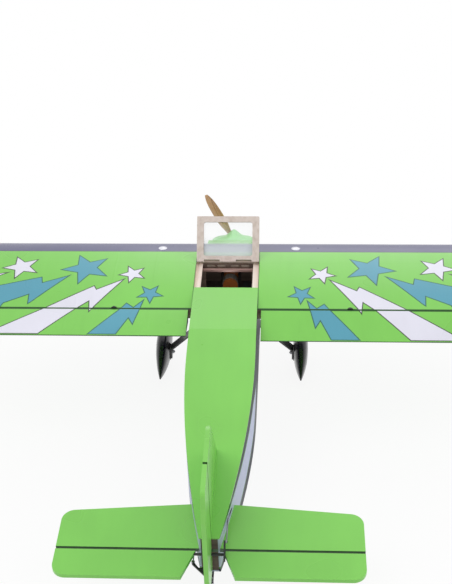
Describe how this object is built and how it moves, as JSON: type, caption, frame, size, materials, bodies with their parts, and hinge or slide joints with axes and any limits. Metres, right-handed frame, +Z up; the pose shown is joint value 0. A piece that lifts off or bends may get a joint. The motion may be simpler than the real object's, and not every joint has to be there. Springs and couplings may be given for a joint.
{
  "type": "radio control high-wing model aeroplane",
  "caption": "High-wing cabin model aeroplane: film-covered wood airframe, electric motor with wooden propeller, open cabin hatch, control surfaces and faired wheels.",
  "frame": {"origin": "middle of the footprint box, on the ground, with the model parked on its three wheels", "axes": "+X to the right wing tip, +Y forward to the propeller, +Z up"},
  "size_m": [1.56, 1.1595, 0.4072],
  "materials": {
    "green_film": "glossy covering film over sheeted wood",
    "dark_film": "dark slate covering film",
    "cowl_paint": "painted moulded cowl",
    "plywood": "bare laser-cut light plywood",
    "balsa": "bare balsa",
    "clear_sheet": "thin clear plastic sheet",
    "black_composite": "black carbon composite strip",
    "black_gloss": "gloss black moulding",
    "rubber": "foam rubber tyre",
    "battery_wrap": "orange-brown shrink wrap",
    "grey_webbing": "grey hook and loop strap",
    "black_plastic": "moulded black plastic",
    "aluminium": "machined aluminium",
    "steel": "steel",
    "white_lens": "white moulded lamp lens",
    "prop_wood": "varnished beech"
  },
  "bodies": {
    "airframe": {"cabin_roof": "green_film", "hatch_coaming": "plywood", "hatch_crossbar": "plywood", "rear_deck": "green_film", "nose_deck": "green_film", "windshield": "clear_sheet", "firewall": "plywood", "formers": "plywood", "fuselage_bottom": "green_film", "fuselage_side_right": "dark_film", "fuselage_side_left": "dark_film", "battery_tray": "plywood", "battery": "battery_wrap", "battery_strap": "grey_webbing", "speed_controller": "black_plastic", "receiver": "black_plastic", "servo_tray": "plywood", "servos": "black_plastic", "wing_tube": "aluminium", "fasteners": "steel", "landing_lights": "white_lens", "wing_tips": "green_film", "wing_skin_right": "green_film", "wing_frame_right": "balsa", "wheel_pant_right": "black_gloss", "wing_skin_left": "green_film", "wing_frame_left": "balsa", "wheel_pant_left": "black_gloss", "hatch_hinge": "steel", "landing_gear_leaf": "black_composite", "stabiliser": "green_film", "fin": "green_film", "tailwheel_strap": "steel", "cowl": "cowl_paint", "motor_base": "aluminium"},
    "hatch_lid": {"hatch_frame": "plywood", "hatch_window": "clear_sheet"},
    "aileron_right": {"aileron_right": "green_film", "aileron_horn_right": "black_plastic"},
    "aileron_left": {"aileron_left": "green_film", "aileron_horn_left": "black_plastic"},
    "elevator": {"elevator": "green_film", "elevator_joiner": "black_plastic"},
    "rudder": {"rudder": "green_film", "rudder_horn": "black_plastic"},
    "tailwheel_fork": {"tailwheel_fork": "steel"},
    "tail_wheel": {"tail_wheel": "rubber"},
    "wheel_right": {"wheel_right": "rubber"},
    "wheel_left": {"wheel_left": "rubber"},
    "propeller": {"propeller": "prop_wood", "prop_adapter": "aluminium", "motor_can": "aluminium"},
    "aileron_servo_arm_right": {"aileron_servo_arm_right": "black_plastic"},
    "aileron_servo_arm_left": {"aileron_servo_arm_left": "black_plastic"},
    "aileron_rod_right": {"aileron_rod_right": "steel"},
    "aileron_rod_left": {"aileron_rod_left": "steel"},
    "elevator_servo_arm": {"elevator_servo_arm": "black_plastic"},
    "elevator_rod": {"elevator_rod": "steel"},
    "rudder_servo_arm": {"rudder_servo_arm": "black_plastic"},
    "rudder_rod": {"rudder_rod": "steel"}
  },
  "joints": [
    {"name": "hatch_swing", "type": "hinge", "parent": "airframe", "child": "hatch_lid", "pos_m": [0, 0.24962, 0.31746], "axis": [1, 0, 0], "range_deg": [0, 130]},
    {"name": "aileron_right_hinge", "type": "hinge", "parent": "airframe", "child": "aileron_right", "pos_m": [0.23935, 0.09063, 0.27814], "axis": [1, 0, 0], "range_deg": [-27, 17]},
    {"name": "aileron_servo_right", "type": "hinge", "parent": "airframe", "child": "aileron_servo_arm_right", "pos_m": [0.23935, 0.17169, 0.27978], "axis": [1, 0, 0], "range_deg": [-27, 17]},
    {"name": "aileron_rod_right_swing", "type": "hinge", "parent": "aileron_servo_arm_right", "child": "aileron_rod_right", "pos_m": [0.23935, 0.1816, 0.24413], "axis": [1, 0, 0], "range_deg": [-17, 27]},
    {"name": "wheel_right_spin", "type": "hinge", "parent": "airframe", "child": "wheel_right", "pos_m": [0.164, 0.34312, 0.036], "axis": [1, 0, 0], "continuous": true},
    {"name": "aileron_left_hinge", "type": "hinge", "parent": "airframe", "child": "aileron_left", "pos_m": [-0.23935, 0.09063, 0.27814], "axis": [1, 0, 0], "range_deg": [-17, 27]},
    {"name": "aileron_servo_left", "type": "hinge", "parent": "airframe", "child": "aileron_servo_arm_left", "pos_m": [-0.23935, 0.17169, 0.27978], "axis": [1, 0, 0], "range_deg": [-17, 27]},
    {"name": "aileron_rod_left_swing", "type": "hinge", "parent": "aileron_servo_arm_left", "child": "aileron_rod_left", "pos_m": [-0.23935, 0.17526, 0.24296], "axis": [1, 0, 0], "range_deg": [-27, 17]},
    {"name": "wheel_left_spin", "type": "hinge", "parent": "airframe", "child": "wheel_left", "pos_m": [-0.164, 0.34312, 0.036], "axis": [1, 0, 0], "continuous": true},
    {"name": "elevator_hinge", "type": "hinge", "parent": "airframe", "child": "elevator", "pos_m": [0, -0.47331, 0.09178], "axis": [1, 0, 0], "range_deg": [-24, 24]},
    {"name": "elevator_servo", "type": "hinge", "parent": "airframe", "child": "elevator_servo_arm", "pos_m": [0.02535, 0.13117, 0.14206], "axis": [1, 0, 0], "range_deg": [-24, 24]},
    {"name": "elevator_rod_swing", "type": "hinge", "parent": "elevator_servo_arm", "child": "elevator_rod", "pos_m": [0.02535, 0.1266, 0.16664], "axis": [1, 0, 0], "range_deg": [-24, 24]},
    {"name": "rudder_hinge", "type": "hinge", "parent": "airframe", "child": "rudder", "pos_m": [0, -0.46418, 0.04262], "axis": [0, -0.1827, 0.9832], "range_deg": [-25, 25]},
    {"name": "rudder_servo", "type": "hinge", "parent": "airframe", "child": "rudder_servo_arm", "pos_m": [0, 0.06916, 0.15831], "axis": [0, -0.1827, 0.9832], "range_deg": [-25, 25]},
    {"name": "rudder_rod_swing", "type": "hinge", "parent": "rudder_servo_arm", "child": "rudder_rod", "pos_m": [-0.03, 0.06916, 0.15831], "axis": [0, -0.1827, 0.9832], "range_deg": [-25, 25]},
    {"name": "tailwheel_steer", "type": "hinge", "parent": "airframe", "child": "tailwheel_fork", "pos_m": [0, -0.477, 0.01583], "axis": [0, -0.1827, 0.9832], "range_deg": [-25, 25]},
    {"name": "tail_wheel_spin", "type": "hinge", "parent": "tailwheel_fork", "child": "tail_wheel", "pos_m": [0, -0.48683, 0.014], "axis": [1, 0, 0], "continuous": true},
    {"name": "prop_spin", "type": "hinge", "parent": "airframe", "child": "propeller", "pos_m": [0, 0.55487, 0.23199], "axis": [0, 0.9832, 0.1827], "continuous": true}
  ],
  "couplings": [
    {"joint": "aileron_servo_right", "follows": "aileron_right_hinge", "ratio": 1},
    {"joint": "aileron_rod_right_swing", "follows": "aileron_right_hinge", "ratio": -1},
    {"joint": "aileron_servo_left", "follows": "aileron_left_hinge", "ratio": 1},
    {"joint": "aileron_rod_left_swing", "follows": "aileron_left_hinge", "ratio": -1},
    {"joint": "elevator_servo", "follows": "elevator_hinge", "ratio": 1},
    {"joint": "elevator_rod_swing", "follows": "elevator_hinge", "ratio": -1},
    {"joint": "rudder_servo", "follows": "rudder_hinge", "ratio": 1},
    {"joint": "rudder_rod_swing", "follows": "rudder_hinge", "ratio": -1},
    {"joint": "tailwheel_steer", "follows": "rudder_hinge", "ratio": 1}
  ]
}
